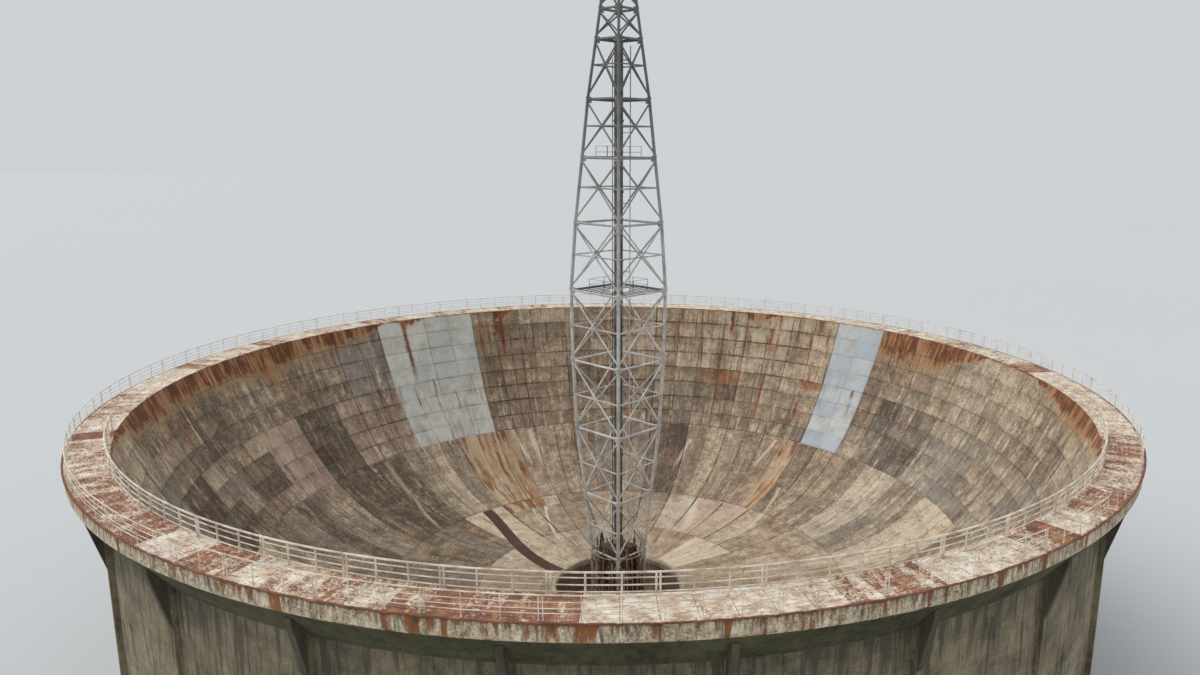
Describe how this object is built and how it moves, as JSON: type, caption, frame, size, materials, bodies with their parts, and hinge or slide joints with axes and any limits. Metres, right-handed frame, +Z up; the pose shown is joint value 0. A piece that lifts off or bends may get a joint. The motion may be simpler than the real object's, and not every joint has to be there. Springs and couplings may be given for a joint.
{
  "type": "radio telescope dish, 1:2 scale model",
  "caption": "Fixed radio telescope dish at 1:2 scale: round concrete bowl in a drum wall, rim deck with railings, and a lattice tower standing in a pit at the centre.",
  "frame": {"origin": "middle of the foot, on the level the drum wall and the pit slab rest on", "axes": "+Z up along the tower; -Y faces the picture's camera; +X to its right"},
  "size_m": [34, 34, 23.5553],
  "materials": {
    "bowl_concrete": "weathered concrete panels with rust and soot streaks",
    "bowl_floor_concrete": "paler weathered concrete panels",
    "beam_concrete": "weathered concrete with rust runs",
    "deck_plates": "flaking pale paint over rusted steel plates",
    "wall_concrete": "board-marked concrete, damp stained",
    "pit_concrete": "dark stained concrete",
    "rail_paint": "flaking cream paint on steel tube",
    "tower_steel": "dull galvanised steel tube",
    "pedestal_steel": "heavily rusted steel plate",
    "column_steel": "dark painted steel",
    "ladder_steel": "dull galvanised steel",
    "platform_steel": "dull galvanised steel grating"
  },
  "bodies": {
    "root": {"bowl_upper_front": "bowl_concrete", "bowl_upper_right": "bowl_concrete", "bowl_upper_back": "bowl_concrete", "bowl_upper_left": "bowl_concrete", "bowl_middle_front": "bowl_concrete", "bowl_middle_right": "bowl_concrete", "bowl_middle_back": "bowl_concrete", "bowl_middle_left": "bowl_concrete", "bowl_lower_front": "bowl_floor_concrete", "bowl_lower_right": "bowl_floor_concrete", "bowl_lower_back": "bowl_floor_concrete", "bowl_lower_left": "bowl_floor_concrete", "ring_beam_front": "beam_concrete", "ring_beam_right": "beam_concrete", "ring_beam_back": "beam_concrete", "ring_beam_left": "beam_concrete", "deck_front": "deck_plates", "deck_right": "deck_plates", "deck_back": "deck_plates", "deck_left": "deck_plates", "outer_wall_front": "wall_concrete", "outer_wall_right": "wall_concrete", "outer_wall_back": "wall_concrete", "outer_wall_left": "wall_concrete", "pit": "pit_concrete", "outer_rail_front": "rail_paint", "outer_rail_right": "rail_paint", "outer_rail_back": "rail_paint", "outer_rail_left": "rail_paint", "inner_rail_left": "rail_paint", "inner_rail_right": "rail_paint", "tower_base": "tower_steel", "tower_lower": "tower_steel", "tower_middle": "tower_steel", "tower_upper": "tower_steel", "tower_top": "tower_steel", "tower_head": "tower_steel", "tower_pedestal": "pedestal_steel", "central_column": "column_steel", "ladder": "ladder_steel", "platform_1": "platform_steel", "platform_2": "platform_steel", "platform_3": "platform_steel", "platform_4": "platform_steel"}
  },
  "joints": []
}
